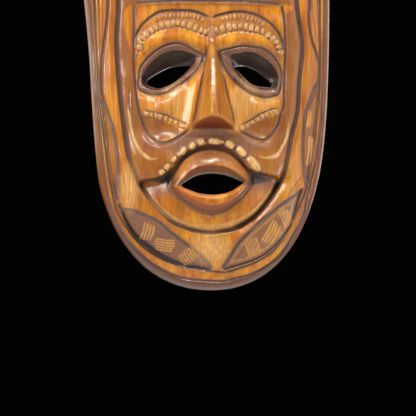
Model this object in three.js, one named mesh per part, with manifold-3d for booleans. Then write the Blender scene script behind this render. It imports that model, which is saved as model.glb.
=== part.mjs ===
// A carved wooden wall mask with its hanger: one carved block of wood, and on its back a strap hanger
// (a folded steel strap, the D-ring that swings in it, and two wood screws).
//
// Millimetres, +Z up, the face looks along -Y, and the flat back rim lies in the wall's plane, y = 0.
// The origin is the point of the wall where the nail carries the ring. Inside this file a place on
// the carving is given as x across and h above the chin, and a depth is measured forwards from the wall.

import * as THREE from 'three';
import { mergeVertices } from 'three/addons/utils/BufferGeometryUtils.js';
import Module from 'manifold-3d';

const wasm = await Module();
wasm.setup();

// ---------------------------------------------------------------- driving dimensions

const HEIGHT = 346; // chin to top of the crown
const LEFT_HALF = 96.5; // the hand-cut block flares a little more on its left
const RIGHT_HALF = 91.5;
const WIDEST_H = 258; // height of the widest place above the chin
const CHIN_X = 2; // the lowest place is a little to the right
const JAW_HALF = 81.5; // half width at the jaw
const JAW_H = 78.5;
const TEMPLE_HALF = 88.7; // the left side flares above here
const TEMPLE_H = 160;
const HANG_H = 320; // height of the nail above the chin

const EDGE_DEPTH = 9; // thickness of the plain outer wall
const BEVEL_WIDTH = 7; // rounded edge between the outer wall and the front
const BEVEL_RISE = 13;
const DOME_RISE = 16; // how far the front swells between the bevel and the middle
const DOME_REACH = 60; // distance from the bevel at which the swelling levels out

const NOSE_TOP_H = 194; // bridge, tip and foot of the nose
const NOSE_TIP_H = 128;
const NOSE_FOOT_H = 117;
const NOSE_TIP_DEPTH = 68;
const MOUTH_H = 79;
const LIP_DEPTH = 41;
const LIP_THICKNESS = 15;

const RIM_WIDTH = 14; // flat back rim that rests on the wall
const WALL = 13; // wood left between the hollow and the plain front
const THIN_WALL = 9; // wood left behind a carved recess
const HOLLOW_SLOPE = 1.6; // steepness of the hollow's sides
const HOLLOW_TOP_H = 264; // above this the block is solid, for the hanger
const NOSE_HOLLOW = 16; // extra hollow behind the nose

const FRONT_GRID = [30, 50]; // cells across and up each carved surface
const HOLLOW_GRID = [20, 32];
const NOSE_GRID = [10, 12];
const OVERCUT = 2; // how far a cutter runs past the face it opens

const WIRE = 2.4; // ring wire diameter
const RING_INNER_WIDTH = 12;
const RING_INNER_HEIGHT = 13;
const GAP = 0.3; // clearance between pieces that touch
const STRAP_WIDTH = 10;
const STRAP_THICKNESS = 1.1;
const STRAP_LENGTH = 26; // ring bar to the rounded end
const SCREW_DROPS = [8, 21]; // screws below the ring bar
const SCREW_RADIUS = 1.5;
const SCREW_HEAD_RADIUS = 3;
const SCREW_HEAD_HEIGHT = 2;
const SCREW_LENGTH = 11.5;
const SEAT_DEPTH = 8; // flat seat cut in the back for the hanger
const SEAT_HALF_WIDTH = 14;
const SEAT_ABOVE_NAIL = 8;
const SEAT_BELOW_STRAP = 6;

// ---------------------------------------------------------------- small tools

const smooth = (t) => {
  const c = Math.min(1, Math.max(0, t));
  return c * c * (3 - 2 * c);
};

// A smooth round-topped hill of height 1 with an elliptical foot.
const hill = (x, h, cx, ch, rx, rh) => {
  const r2 = ((x - cx) / rx) ** 2 + ((h - ch) / rh) ** 2;
  return r2 < 1 ? (1 - r2) ** 2 : 0;
};

function toSolid(geometry) {
  const bare = geometry.clone();
  bare.deleteAttribute('normal');
  bare.deleteAttribute('uv');
  const merged = mergeVertices(bare, 1e-4);
  return new wasm.Manifold(new wasm.Mesh({
    numProp: 3,
    vertProperties: new Float32Array(merged.attributes.position.array),
    triVerts: new Uint32Array(merged.index.array),
  }));
}

function toGeometry(solid) {
  const mesh = solid.getMesh();
  const geometry = new THREE.BufferGeometry();
  geometry.setAttribute('position', new THREE.BufferAttribute(mesh.vertProperties, 3));
  geometry.setIndex(new THREE.BufferAttribute(mesh.triVerts, 1));
  geometry.computeVertexNormals();
  return geometry;
}

// A flat outline drawn in x and h, made solid from one depth in front of the wall to another.
function prism(shape, fromDepth, toDepth, curveSegments = 12) {
  const geometry = new THREE.ExtrudeGeometry(shape, {
    depth: toDepth - fromDepth,
    steps: 1,
    bevelEnabled: false,
    curveSegments,
  });
  geometry.rotateX(Math.PI / 2);
  geometry.translate(0, -fromDepth, -HANG_H);
  return toSolid(geometry);
}

// A cylinder along the depth direction.
function drill(radius, x, z, fromDepth, toDepth, segments = 24) {
  const geometry = new THREE.CylinderGeometry(radius, radius, toDepth - fromDepth, segments);
  geometry.translate(x, -(fromDepth + toDepth) / 2, z);
  return toSolid(geometry);
}

// A grid of cells with a carved front and a flat back. placeAt gives [x, h, depth] for a cell corner,
// whose across and up run from -1 to 1.
function carvedGrid(placeAt, backDepth, [columns, rows]) {
  const geometry = new THREE.BoxGeometry(2, 1, 2, columns, 1, rows);
  const place = geometry.attributes.position;
  for (let i = 0; i < place.count; i++) {
    const [x, h, depth] = placeAt(place.getX(i), place.getZ(i));
    place.setXYZ(i, x, place.getY(i) < 0 ? -depth : -backDepth, h - HANG_H);
  }
  return toSolid(geometry);
}

// ---------------------------------------------------------------- outlines

function maskShape() {
  const crown = HEIGHT - WIDEST_H;
  const round = 0.55; // handle length that makes a cubic curve nearly elliptical
  const shoulder = WIDEST_H + crown * round;
  const s = new THREE.Shape();
  s.moveTo(CHIN_X, 0);
  s.bezierCurveTo(42, 0, 69, 27, JAW_HALF, JAW_H);
  s.bezierCurveTo(91, 112, RIGHT_HALF, 185, RIGHT_HALF, WIDEST_H);
  s.bezierCurveTo(RIGHT_HALF, shoulder, RIGHT_HALF * round, HEIGHT, 0, HEIGHT);
  s.bezierCurveTo(-LEFT_HALF * round, HEIGHT, -LEFT_HALF, shoulder, -LEFT_HALF, WIDEST_H);
  s.bezierCurveTo(-LEFT_HALF, WIDEST_H - 24, -90.5, TEMPLE_H + 40, -TEMPLE_HALF, TEMPLE_H);
  s.bezierCurveTo(-87.5, TEMPLE_H - 25, -84, JAW_H + 10.5, -JAW_HALF, JAW_H);
  s.bezierCurveTo(-69, 27, -39, 0, CHIN_X, 0);
  return s;
}

// The hollow's edge keeps RIM_WIDTH inside the mask's and closes in an arch below the hanger.
function hollowShape() {
  const half = RIGHT_HALF - RIM_WIDTH;
  const shoulderH = HOLLOW_TOP_H - 58;
  const s = new THREE.Shape();
  s.moveTo(0, RIM_WIDTH);
  s.bezierCurveTo(36, RIM_WIDTH, 57.5, 36.5, 67, 81);
  s.bezierCurveTo(70, 95, half, 150, half, shoulderH);
  s.bezierCurveTo(half, shoulderH + 34, 46, HOLLOW_TOP_H, 0, HOLLOW_TOP_H);
  s.bezierCurveTo(-46, HOLLOW_TOP_H, -half, shoulderH + 34, -half, shoulderH);
  s.bezierCurveTo(-half, 150, -70, 95, -67, 81);
  s.bezierCurveTo(-57.5, 36.5, -36, RIM_WIDTH, 0, RIM_WIDTH);
  return s;
}

// An outline's points, and a place inside it from which all of it can be seen.
const outlineOf = (shape, middleH) => ({ points: shape.getPoints(18), middle: new THREE.Vector2(0, middleH) });

const mask = outlineOf(maskShape(), HEIGHT / 2);
const hollow = outlineOf(hollowShape(), (RIM_WIDTH + HOLLOW_TOP_H) / 2);

// Distance from a place inside an outline to the nearest edge.
function inset(outline, x, h) {
  let nearest = Infinity;
  for (let i = 0; i < outline.points.length - 1; i++) {
    const a = outline.points[i];
    const run = new THREE.Vector2().subVectors(outline.points[i + 1], a);
    const t = ((x - a.x) * run.x + (h - a.y) * run.y) / Math.max(run.lengthSq(), 1e-9);
    const c = Math.min(1, Math.max(0, t));
    nearest = Math.min(nearest, Math.hypot(x - a.x - c * run.x, h - a.y - c * run.y));
  }
  return nearest;
}

// How far an outline is from its middle in a direction.
function edgeRadius(outline, dx, dh) {
  for (let i = 0; i < outline.points.length - 1; i++) {
    const a = new THREE.Vector2().subVectors(outline.points[i], outline.middle);
    const run = new THREE.Vector2().subVectors(outline.points[i + 1], outline.points[i]);
    const cross = dx * run.y - dh * run.x;
    const t = (a.x * run.y - a.y * run.x) / cross;
    const u = (a.x * dh - a.y * dx) / cross;
    if (t > 0 && u >= -1e-9 && u <= 1 + 1e-9) return t;
  }
  throw new Error('the outline does not surround its middle');
}

// Fits a grid to an outline: the grid's square is rounded to a disc and the disc is stretched to the
// outline, so the outer rows of cells follow the edge.
function fitted(outline, depthAt) {
  return (across, up) => {
    const u = across * Math.sqrt(1 - (up * up) / 2);
    const v = up * Math.sqrt(1 - (across * across) / 2);
    const reach = Math.hypot(u, v);
    const radius = reach > 1e-6 ? edgeRadius(outline, u / reach, v / reach) : 0;
    const x = u * radius;
    const h = outline.middle.y + v * radius;
    return [x, h, depthAt(x, h)];
  };
}

// ---------------------------------------------------------------- the carved block

// The plain swelling front of the block, before the face is cut into it.
function domeDepth(s) {
  const bevel = Math.min(1, s / BEVEL_WIDTH);
  const swell = Math.min(1, Math.max(0, (s - BEVEL_WIDTH) / DOME_REACH));
  return EDGE_DEPTH + BEVEL_RISE * Math.sqrt(1 - (1 - bevel) ** 2) + DOME_RISE * (1 - (1 - swell) ** 2);
}

// The face panel lies a little below the collar around it.
function panelRelief(x, h) {
  const up = h < 160 ? (160 - h) / 117 : (h - 160) / 58;
  return -3 * smooth((1 - Math.hypot(x / 67, up) ** 3) * 3);
}

function eyeSocketRelief(x, h) {
  return -14 * Math.sqrt(hill(Math.abs(x), h, 32, 161, 27, 22));
}

function cheekRelief(x, h) {
  const side = Math.abs(x);
  return -7 * hill(side, h, 34, 118, 24, 16) + 5 * hill(side, h, 47, 98, 20, 24);
}

function muzzleRelief(x, h) {
  return 7 * hill(x, h, 0, MOUTH_H + 2, 54, 42);
}

function frontDepth(x, h) {
  const s = inset(mask, x, h);
  const relief = panelRelief(x, h) + eyeSocketRelief(x, h) + cheekRelief(x, h) + muzzleRelief(x, h);
  return domeDepth(s) + relief * smooth(s / BEVEL_WIDTH - 0.5);
}

// The nose widens and rises from the bridge to the tip, and its underside slopes back to the lip.
function nosePlace(across, up) {
  const h = NOSE_FOOT_H + ((up + 1) / 2) * (NOSE_TOP_H - NOSE_FOOT_H);
  const down = Math.min(1, (NOSE_TOP_H - h) / (NOSE_TOP_H - NOSE_TIP_H));
  const under = Math.min(1, (h - NOSE_FOOT_H) / (NOSE_TIP_H - NOSE_FOOT_H));
  const foot = 30;
  const ridge = 40 + (NOSE_TIP_DEPTH - 40) * down;
  const section = Math.sqrt(Math.max(0, 1 - Math.abs(across) ** 2.4));
  return [across * (6 + 9 * down), h, foot + (ridge - foot) * section * under];
}

// One rounded ridge over each eye.
function browRidge(side) {
  const arch = [[4, 183], [16, 191], [30, 194], [46, 188], [57, 170]];
  const path = new THREE.CatmullRomCurve3(arch.map(([x, h]) => (
    new THREE.Vector3(side * x, -(frontDepth(x, h) - 2), h - HANG_H))));
  const section = new THREE.Shape();
  section.absarc(0, 0, 6, 0, 2 * Math.PI, false);
  return toSolid(new THREE.ExtrudeGeometry(section, {
    steps: 12,
    curveSegments: 5,
    bevelEnabled: false,
    extrudePath: path,
  }));
}

// A full ring of lip around the mouth.
function lips() {
  const ring = new THREE.TorusGeometry(1, 0.36, 10, 28);
  ring.rotateX(Math.PI / 2);
  ring.scale(24, LIP_THICKNESS, 17);
  ring.translate(0, -LIP_DEPTH, MOUTH_H - HANG_H);
  return toSolid(ring);
}

// An eye opening: a slanting leaf, low at the outer corner.
function eyeShape(side) {
  const s = new THREE.Shape();
  s.moveTo(side * 16, 168.5);
  s.bezierCurveTo(side * 27, 171.5, side * 38, 167, side * 47, 156.5);
  s.quadraticCurveTo(side * 48.5, 153, side * 45, 152.5);
  s.bezierCurveTo(side * 34, 150.5, side * 27, 154, side * 16, 168.5);
  return s;
}

function mouthShape() {
  const s = new THREE.Shape();
  s.moveTo(-22.5, 77.5);
  s.bezierCurveTo(-9, 91.5, 10, 89, 25, 80);
  s.bezierCurveTo(12, 66.5, -9, 67, -22.5, 77.5);
  return s;
}

// The hollow in the back takes the wearer's face. Below zero it is clear of the wood.
function hollowDepth(x, h) {
  const slope = (inset(hollow, x, h) - OVERCUT) * HOLLOW_SLOPE;
  const floor = domeDepth(inset(mask, x, h)) - WALL + NOSE_HOLLOW * hill(x, h, 0, 146, 17, 40);
  return Math.min(slope, floor, frontDepth(x, h) - THIN_WALL);
}

// The flat seat for the hanger, sunk into the solid top of the back.
function seatShape() {
  const top = HANG_H + SEAT_ABOVE_NAIL;
  const bottom = HANG_H + ringBarZ - STRAP_LENGTH - SEAT_BELOW_STRAP;
  const s = new THREE.Shape();
  s.moveTo(-SEAT_HALF_WIDTH, bottom);
  s.lineTo(SEAT_HALF_WIDTH, bottom);
  s.lineTo(SEAT_HALF_WIDTH, top);
  s.lineTo(-SEAT_HALF_WIDTH, top);
  return s;
}

function maskBody() {
  const pastFront = 80;
  let body = carvedGrid(fitted(mask, frontDepth), 0, FRONT_GRID);
  for (const raised of [carvedGrid(nosePlace, 20, NOSE_GRID), browRidge(-1), browRidge(1), lips()]) {
    body = body.add(raised);
  }
  body = body.subtract(carvedGrid(fitted(hollow, hollowDepth), -2 * OVERCUT, HOLLOW_GRID));
  for (const hole of [eyeShape(-1), eyeShape(1), mouthShape()]) {
    body = body.subtract(prism(hole, -OVERCUT, pastFront, 8));
  }
  body = body.subtract(prism(seatShape(), -OVERCUT, SEAT_DEPTH));
  for (const drop of SCREW_DROPS) {
    const pilotEnd = screwHeadDepth + SCREW_LENGTH + GAP;
    body = body.subtract(drill(SCREW_RADIUS + GAP, 0, ringBarZ - drop, SEAT_DEPTH - OVERCUT, pilotEnd, 12));
  }
  return toGeometry(body);
}

// ---------------------------------------------------------------- the hanger

const barrelBore = WIRE / 2 + GAP;
const barrelRadius = barrelBore + STRAP_THICKNESS;
const strapDepth = SEAT_DEPTH - GAP - STRAP_THICKNESS; // the strap's face on the wall's side
const ringDepth = SEAT_DEPTH - GAP - barrelRadius;
const ringBarZ = -(RING_INNER_HEIGHT + WIRE / 2);
const screwHeadDepth = strapDepth - GAP;

// The strap: a flat leg with a rounded end and two holes, and the barrel it is folded into.
function hangerStrap() {
  const half = STRAP_WIDTH / 2;
  const endH = HANG_H + ringBarZ - STRAP_LENGTH + half;
  const leg = new THREE.Shape();
  leg.moveTo(half, HANG_H + ringBarZ);
  leg.lineTo(-half, HANG_H + ringBarZ);
  leg.lineTo(-half, endH);
  leg.absarc(0, endH, half, Math.PI, 2 * Math.PI, false);
  let strap = prism(leg, strapDepth, strapDepth + STRAP_THICKNESS, 16);

  const barrel = new THREE.CylinderGeometry(barrelRadius, barrelRadius, STRAP_WIDTH, 28);
  barrel.rotateZ(Math.PI / 2);
  barrel.translate(0, -ringDepth, ringBarZ);
  strap = strap.add(toSolid(barrel));
  const bore = new THREE.CylinderGeometry(barrelBore, barrelBore, STRAP_WIDTH + OVERCUT, 20);
  bore.rotateZ(Math.PI / 2);
  bore.translate(0, -ringDepth, ringBarZ);
  strap = strap.subtract(toSolid(bore));
  for (const drop of SCREW_DROPS) {
    strap = strap.subtract(drill(SCREW_RADIUS + GAP, 0, ringBarZ - drop, 0, SEAT_DEPTH, 20));
  }
  return toGeometry(strap);
}

// The D-ring: bent wire, with a straight bar in the barrel and a bow that rises from it.
function ringOutline(halfWidth, barZ, corner) {
  const shoulder = WIRE / 2 - (RING_INNER_WIDTH + WIRE) / 2;
  const s = new THREE.Shape();
  s.moveTo(halfWidth - corner, barZ);
  s.absarc(halfWidth - corner, barZ + corner, corner, -Math.PI / 2, 0, false);
  s.absarc(0, shoulder, halfWidth, 0, Math.PI, false);
  s.absarc(corner - halfWidth, barZ + corner, corner, Math.PI, 1.5 * Math.PI, false);
  return s;
}

function hangerRing() {
  const round = WIRE / 3; // the wire's section is rounded by a third on each side
  const middle = (RING_INNER_WIDTH + WIRE) / 2;
  const ring = ringOutline(middle + round / 2, ringBarZ - round / 2, 2);
  ring.holes.push(ringOutline(middle - round / 2, ringBarZ + round / 2, 1.2));
  const wire = new THREE.ExtrudeGeometry(ring, {
    depth: WIRE - 2 * round,
    steps: 1,
    curveSegments: 6,
    bevelThickness: round,
    bevelSize: round,
    bevelSegments: 2,
  });
  wire.rotateX(Math.PI / 2);
  wire.translate(0, -(ringDepth - WIRE / 2 + round), 0);
  return toGeometry(toSolid(wire));
}

// A pan-head wood screw: head towards the wall, tapering to a point in the wood.
function hangerScrew(drop) {
  const profile = [
    new THREE.Vector2(0, 0),
    new THREE.Vector2(SCREW_HEAD_RADIUS * 0.7, 0),
    new THREE.Vector2(SCREW_HEAD_RADIUS, SCREW_HEAD_HEIGHT * 0.5),
    new THREE.Vector2(SCREW_HEAD_RADIUS, SCREW_HEAD_HEIGHT),
    new THREE.Vector2(SCREW_RADIUS, SCREW_HEAD_HEIGHT),
    new THREE.Vector2(SCREW_RADIUS, SCREW_HEAD_HEIGHT + SCREW_LENGTH * 0.7),
    new THREE.Vector2(0, SCREW_HEAD_HEIGHT + SCREW_LENGTH),
  ];
  const screw = new THREE.LatheGeometry(profile, 20);
  screw.rotateX(Math.PI);
  screw.translate(0, -(screwHeadDepth - SCREW_HEAD_HEIGHT), ringBarZ - drop);
  const slot = new THREE.BoxGeometry(2 * SCREW_HEAD_RADIUS + 1, 1, 0.8);
  slot.translate(0, -(screwHeadDepth - SCREW_HEAD_HEIGHT), ringBarZ - drop);
  return toGeometry(toSolid(screw).subtract(toSolid(slot)));
}

// ---------------------------------------------------------------- assembly

const varnishedWood = new THREE.MeshStandardMaterial({ color: 0xa8642a, roughness: 0.35, metalness: 0 });
const platedSteel = new THREE.MeshStandardMaterial({ color: 0xb9a878, roughness: 0.35, metalness: 1 });
const screwSteel = new THREE.MeshStandardMaterial({ color: 0xa9a9a6, roughness: 0.4, metalness: 1 });

const group = new THREE.Group();

function addPiece(name, geometry, material) {
  const mesh = new THREE.Mesh(geometry, material);
  mesh.name = name;
  group.add(mesh);
}

addPiece('mask_body', maskBody(), varnishedWood);
addPiece('hanger_strap', hangerStrap(), platedSteel);
addPiece('hanger_ring', hangerRing(), platedSteel);
addPiece('hanger_screw_upper', hangerScrew(SCREW_DROPS[0]), screwSteel);
addPiece('hanger_screw_lower', hangerScrew(SCREW_DROPS[1]), screwSteel);

export default group;
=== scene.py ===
"""The looks of a carved and varnished wooden wall mask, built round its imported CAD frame.

The front is one height map: a place on it is x millimetres across and h millimetres above the chin,
and its depth is measured forwards from the wall. The face is looked at along +Y.
"""

import math

import bpy
import numpy as np
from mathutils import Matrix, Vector


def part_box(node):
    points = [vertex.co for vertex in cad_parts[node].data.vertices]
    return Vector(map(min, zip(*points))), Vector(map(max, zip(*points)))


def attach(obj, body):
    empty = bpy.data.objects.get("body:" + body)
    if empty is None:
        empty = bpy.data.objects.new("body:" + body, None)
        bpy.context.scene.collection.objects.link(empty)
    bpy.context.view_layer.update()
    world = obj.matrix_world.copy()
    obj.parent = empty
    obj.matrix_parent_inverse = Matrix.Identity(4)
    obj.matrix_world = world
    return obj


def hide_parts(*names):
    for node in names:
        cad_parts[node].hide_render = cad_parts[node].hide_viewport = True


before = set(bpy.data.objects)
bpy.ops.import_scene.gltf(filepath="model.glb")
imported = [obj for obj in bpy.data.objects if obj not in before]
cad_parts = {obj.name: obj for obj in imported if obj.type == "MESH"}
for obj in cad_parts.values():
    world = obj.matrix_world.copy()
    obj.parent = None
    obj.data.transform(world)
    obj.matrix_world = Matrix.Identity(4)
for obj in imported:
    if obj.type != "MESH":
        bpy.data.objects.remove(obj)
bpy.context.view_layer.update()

# ---------------------------------------------------------------- sizes from the frame

MM = 0.001
wood_low, wood_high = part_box("mask_body")
strap_low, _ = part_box("hanger_strap")
CHIN_Z = wood_low.z
HEIGHT = (wood_high.z - wood_low.z) / MM
LEFT_HALF = -wood_low.x / MM
RIGHT_HALF = wood_high.x / MM
WIDEST_H = 0.746 * HEIGHT
MIDDLE_H = 0.5 * HEIGHT

EDGE_DEPTH = 9.0  # plain outer wall
BEVEL_WIDTH = 7.0  # rounded edge between the wall and the front
BEVEL_RISE = 13.0
DOME_RISE = 16.0
DOME_REACH = 60.0
WALL = 13.0  # wood between the hollow and the plain front
THIN_WALL = 9.0  # wood behind a carved recess
HOLLOW_RIM = 14.0  # flat rim that lies on the wall
HOLLOW_TOP = WIDEST_H + 6
HOLLOW_SLOPE = 1.6  # steepness of the hollow's sides
FRONT_CELLS = (330, 560)
HOLLOW_CELLS = (120, 190)
WALL_RINGS = (6.0, 3.5, 1.0, 0.0)  # depths of the rings of faces down the outer wall
OVERCUT = 3.0  # how far a cutter starts outside the wood
CLEAR_OF_NOSE = 80.0
SHARP_DEGREES = 55

# ---------------------------------------------------------------- numbers and lines


def smooth(t):
    """0 up to t = 0, 1 from t = 1, and an S between."""
    c = np.clip(t, 0.0, 1.0)
    return c * c * (3 - 2 * c)


def hill(x, h, centre_x, centre_h, reach_x, reach_h):
    """A round-topped hill of height 1 with an elliptical foot."""
    return np.clip(1 - ((x - centre_x) / reach_x) ** 2 - ((h - centre_h) / reach_h) ** 2, 0, 1) ** 2


def spline(points, closed=False, step=2.0):
    """A smooth curve through points, as a polyline with a vertex about every step millimetres."""
    p = np.array(points, float)
    ring = np.vstack([p[-1:], p, p[:2]]) if closed else np.vstack([2 * p[0] - p[1], p, 2 * p[-1] - p[-2]])
    out = []
    for a, b, c, d in zip(ring, ring[1:], ring[2:], ring[3:]):
        count = max(1, int(np.hypot(*(c - b)) / step))
        t = np.linspace(0, 1, count, endpoint=False)[:, None]
        out.append(b + 0.5 * t * (c - a + t * (2 * a - 5 * b + 4 * c - d + t * (3 * (b - c) + d - a))))
    out.append((ring[1] if closed else p[-1])[None])
    return np.vstack(out)


def bezier(start, first, second, end, count=60):
    t = np.linspace(0, 1, count, endpoint=False)[:, None]
    a, b, c, d = (np.array(p, float) for p in (start, first, second, end))
    return (1 - t) ** 3 * a + 3 * (1 - t) ** 2 * t * b + 3 * (1 - t) * t**2 * c + t**3 * d


def follow(x, h, line):
    """For many places: the distance to a line, how far along it the nearest point is, and the side."""
    runs = np.diff(line, axis=0)
    lengths = np.maximum(np.hypot(runs[:, 0], runs[:, 1]), 1e-9)
    starts = np.concatenate([[0.0], np.cumsum(lengths)])
    best = np.full(x.shape, np.inf)
    along = np.zeros(x.shape)
    side = np.zeros(x.shape)
    for (ax, ah), (dx, dh), length, start in zip(line, runs, lengths, starts):
        t = np.clip(((x - ax) * dx + (h - ah) * dh) / length**2, 0, 1)
        rx = x - ax - t * dx
        rh = h - ah - t * dh
        squared = rx * rx + rh * rh
        closer = squared < best
        best[closer] = squared[closer]
        along[closer] = start + t[closer] * length
        side[closer] = np.sign(dx * rh - dh * rx)[closer]
    return np.sqrt(best), along, side


def is_inside(x, h, line):
    """Even-odd test of many places against a closed polyline."""
    inside = np.zeros(x.shape, bool)
    for (ax, ah), (bx, bh) in zip(line, np.roll(line, -1, axis=0)):
        if ah != bh:
            crosses = (ah > h) != (bh > h)
            inside ^= crosses & (x < (bx - ax) * (h - ah) / (bh - ah) + ax)
    return inside


def gap_to(x, h, points):
    """How far places are from a closed outline, 0 inside it."""
    line = spline(points, closed=True)
    distance, _, _ = follow(x, h, line)
    return np.where(is_inside(x, h, line), 0, distance)


# ---------------------------------------------------------------- outlines


def mask_outline():
    """The block's outline, counter-clockwise from the chin. Its left side flares above the temple."""
    round_handle = 0.55
    shoulder = WIDEST_H + (HEIGHT - WIDEST_H) * round_handle
    chin, crown = (2, 0), (0, HEIGHT)
    jaw, temple = (81.5, 78.5), (-88.7, 160)
    return np.vstack([
        bezier(chin, (42, 0), (69, 27), jaw),
        bezier(jaw, (91, 112), (RIGHT_HALF, 185), (RIGHT_HALF, WIDEST_H)),
        bezier((RIGHT_HALF, WIDEST_H), (RIGHT_HALF, shoulder), (RIGHT_HALF * round_handle, HEIGHT), crown),
        bezier(crown, (-LEFT_HALF * round_handle, HEIGHT), (-LEFT_HALF, shoulder), (-LEFT_HALF, WIDEST_H)),
        bezier((-LEFT_HALF, WIDEST_H), (-LEFT_HALF, WIDEST_H - 24), (-90.5, 200), temple),
        bezier(temple, (-87.5, 135), (-84, 89), (-jaw[0], jaw[1])),
        bezier((-jaw[0], jaw[1]), (-69, 27), (-39, 0), chin),
    ])


def hollow_outline():
    half = RIGHT_HALF - HOLLOW_RIM
    jaw, temple = (67, 81), (half, HOLLOW_TOP - 58)
    right = np.vstack([
        bezier((0, HOLLOW_RIM), (36, HOLLOW_RIM), (57.5, 36.5), jaw),
        bezier(jaw, (70, 95), (half, 150), temple),
        bezier(temple, (half, HOLLOW_TOP - 24), (46, HOLLOW_TOP), (0, HOLLOW_TOP)),
    ])
    return np.vstack([right, [(0, HOLLOW_TOP)], right[:0:-1] * (-1, 1)])


OUTLINE = mask_outline()
HOLLOW = hollow_outline()


def crown_arc(inset):
    """Points of the mask's outline above the temples, moved in by inset, from left to right."""
    closed = np.vstack([OUTLINE, OUTLINE[:1]])
    run = np.diff(closed, axis=0)
    inward = np.stack([-run[:, 1], run[:, 0]], 1) / np.maximum(np.hypot(run[:, 0], run[:, 1]), 1e-9)[:, None]
    moved = (OUTLINE + inward * inset)[OUTLINE[:, 1] > 246][::-1]
    return [tuple(p) for p in moved[:: len(moved) // 9]]


# ---------------------------------------------------------------- the hand-cut lines, left and right

# Points are (x, h). In a pair, -1 is the left one and 1 the right one.
# The wall's groove and the inner line of the orange band next to it, from the chin up.
BAND_OUTER = {
    -1: [(-16, 8), (-34, 14.5), (-52, 27), (-66, 44), (-75, 67), (-80.5, 104), (-85.5, 160), (-88.9, 216)],
    1: [(9, 6.5), (21, 9), (33.6, 13), (51, 24.4), (62, 41), (69.4, 55.4), (72.4, 67), (80.7, 104),
        (84.3, 141), (86.4, 216)],
}
BAND_INNER = {
    -1: [(-19, 17), (-37.6, 23.6), (-53.7, 35.4), (-65.6, 52), (-71.5, 66.5), (-77.5, 104), (-82.3, 141),
         (-83.4, 160), (-86.3, 216)],
    1: [(8.6, 13), (20.8, 15.6), (33.3, 20), (43.2, 25.5), (50.6, 32), (56, 40), (63.6, 55), (69.5, 68),
        (73.4, 82), (79.7, 122), (82.7, 160), (82.9, 216)],
}
COLLAR = {
    -1: [(-1.1, 42), (-13.4, 44), (-25.8, 48.5), (-32.5, 53.4), (-43.8, 65.7), (-52.6, 78), (-57.4, 90.3),
         (-61.5, 102.6), (-66.7, 140), (-70, 183.5), (-68.9, 214)],
    1: [(7.6, 43), (17.2, 45.2), (32, 53.7), (43, 65.7), (51, 78), (55.8, 90.3), (60.8, 115), (65.4, 133),
        (67, 158), (69.3, 184), (65, 214)],
}
PANEL = {
    -1: [(-57, 213), (-57, 169), (-55, 143), (-52.4, 130), (-48, 118), (-42, 111), (-36.4, 108.4),
         (-29, 110), (-22, 114), (-15.6, 118)],
    1: [(53, 213), (55, 203), (55.5, 184), (54.8, 141), (52, 130), (49.2, 121), (43.6, 113.4), (39, 110.8),
        (31.5, 112.6), (20, 118)],
}
BROW_LINE = {
    -1: [(-56.6, 178), (-56, 186.7), (-53.6, 192.8), (-49.3, 198.3), (-43.2, 203.3), (-36.5, 206.5),
         (-19.8, 207.3), (-11.8, 206.5), (-5.1, 204), (-0.6, 201)],
    1: [(54.3, 176.3), (53.7, 183), (51.8, 189.2), (47.5, 195.4), (40.8, 200.8), (33.4, 204.5), (24.8, 206.5),
        (16.8, 206.5), (7.6, 204.5), (0, 201.5)],
}
BROW_BEADS = {
    -1: [(-54.3, 176.7), (-53, 181), (-49.3, 188.5), (-40.8, 194), (-30.3, 197), (-19.9, 197), (-8.2, 192.7),
         (-2.7, 190.2)],
    1: [(53, 173.7), (51, 179.8), (48.5, 184.8), (40.7, 190.8), (33.3, 194), (21.7, 195.8), (9.3, 194),
        (2.7, 192)],
}
BROW_DASHES = {
    -1: [(-54.6, 173), (-49.3, 186), (-43.2, 190), (-33.4, 194), (-26, 194.8), (-16.8, 193.3), (-7.7, 189.6),
         (-0.3, 187.4)],
    1: [(51.9, 171), (47.4, 183.5), (41.3, 187.2), (35.2, 190.2), (22.9, 192), (15.5, 191.5), (7.5, 189),
        (0.8, 187.2)],
}
EYE_RIM = {
    -1: [(-53.4, 156.4), (-52.2, 164.6), (-46.8, 172), (-38.2, 179), (-27, 182.7), (-18.6, 181), (-11.7, 177),
         (-5, 173.4), (-7.5, 168), (-11.7, 161), (-19.7, 154), (-26, 150), (-32, 146), (-39.4, 144.4),
         (-48, 145.6), (-53.4, 149.3)],
    1: [(5.8, 175.4), (13.9, 179), (23, 181), (32.4, 180.3), (39.7, 179), (44.6, 176), (48.8, 171.7),
        (52, 166), (53.3, 158), (51.4, 146.8), (47.7, 144.4), (39.7, 143), (32.4, 144.7), (26.2, 147.5),
        (19.9, 152.3), (12, 161)],
}
SOCKET = {
    -1: [(-51.5, 156.8), (-46.6, 166), (-38, 174), (-28, 177.6), (-19.5, 177), (-11, 173.4), (-13.5, 166),
         (-21.5, 156.5), (-28.5, 151.5), (-34, 149), (-40, 147.8), (-46, 148.8), (-50.5, 152)],
    1: [(14.7, 174), (20.2, 175.8), (26.5, 177), (32.6, 176.4), (38.7, 173.4), (44.9, 169), (49, 163.5),
        (51, 156.8), (49.5, 151), (45.5, 149), (38.5, 148.8), (31, 150.4), (26, 153.5), (19, 160.5)],
}
EYE_HOLE = {
    -1: [(-46.4, 156.8), (-38.9, 161.8), (-30.3, 166), (-22.3, 167.3), (-14.4, 166.7), (-22.3, 157.7),
         (-28.5, 153), (-34, 150.4), (-38.9, 149.4), (-43.9, 150.4), (-47.3, 152.8)],
    1: [(17.6, 166), (21.9, 167.6), (26.9, 167.6), (31.7, 166), (38, 162.4), (44.2, 156.8), (46.3, 152.8),
        (44.8, 151), (39.2, 151), (33, 152), (28, 154.7), (21.9, 161.2)],
}
CHEEK_BEADS = {
    -1: [(-50.2, 130.6), (-42.5, 129), (-33, 126.6), (-28, 124.3), (-17.6, 119.6)],
    1: [(51, 132.6), (44.5, 131.6), (36.4, 127.8), (28, 122.6), (21.6, 119.4)],
}
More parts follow.
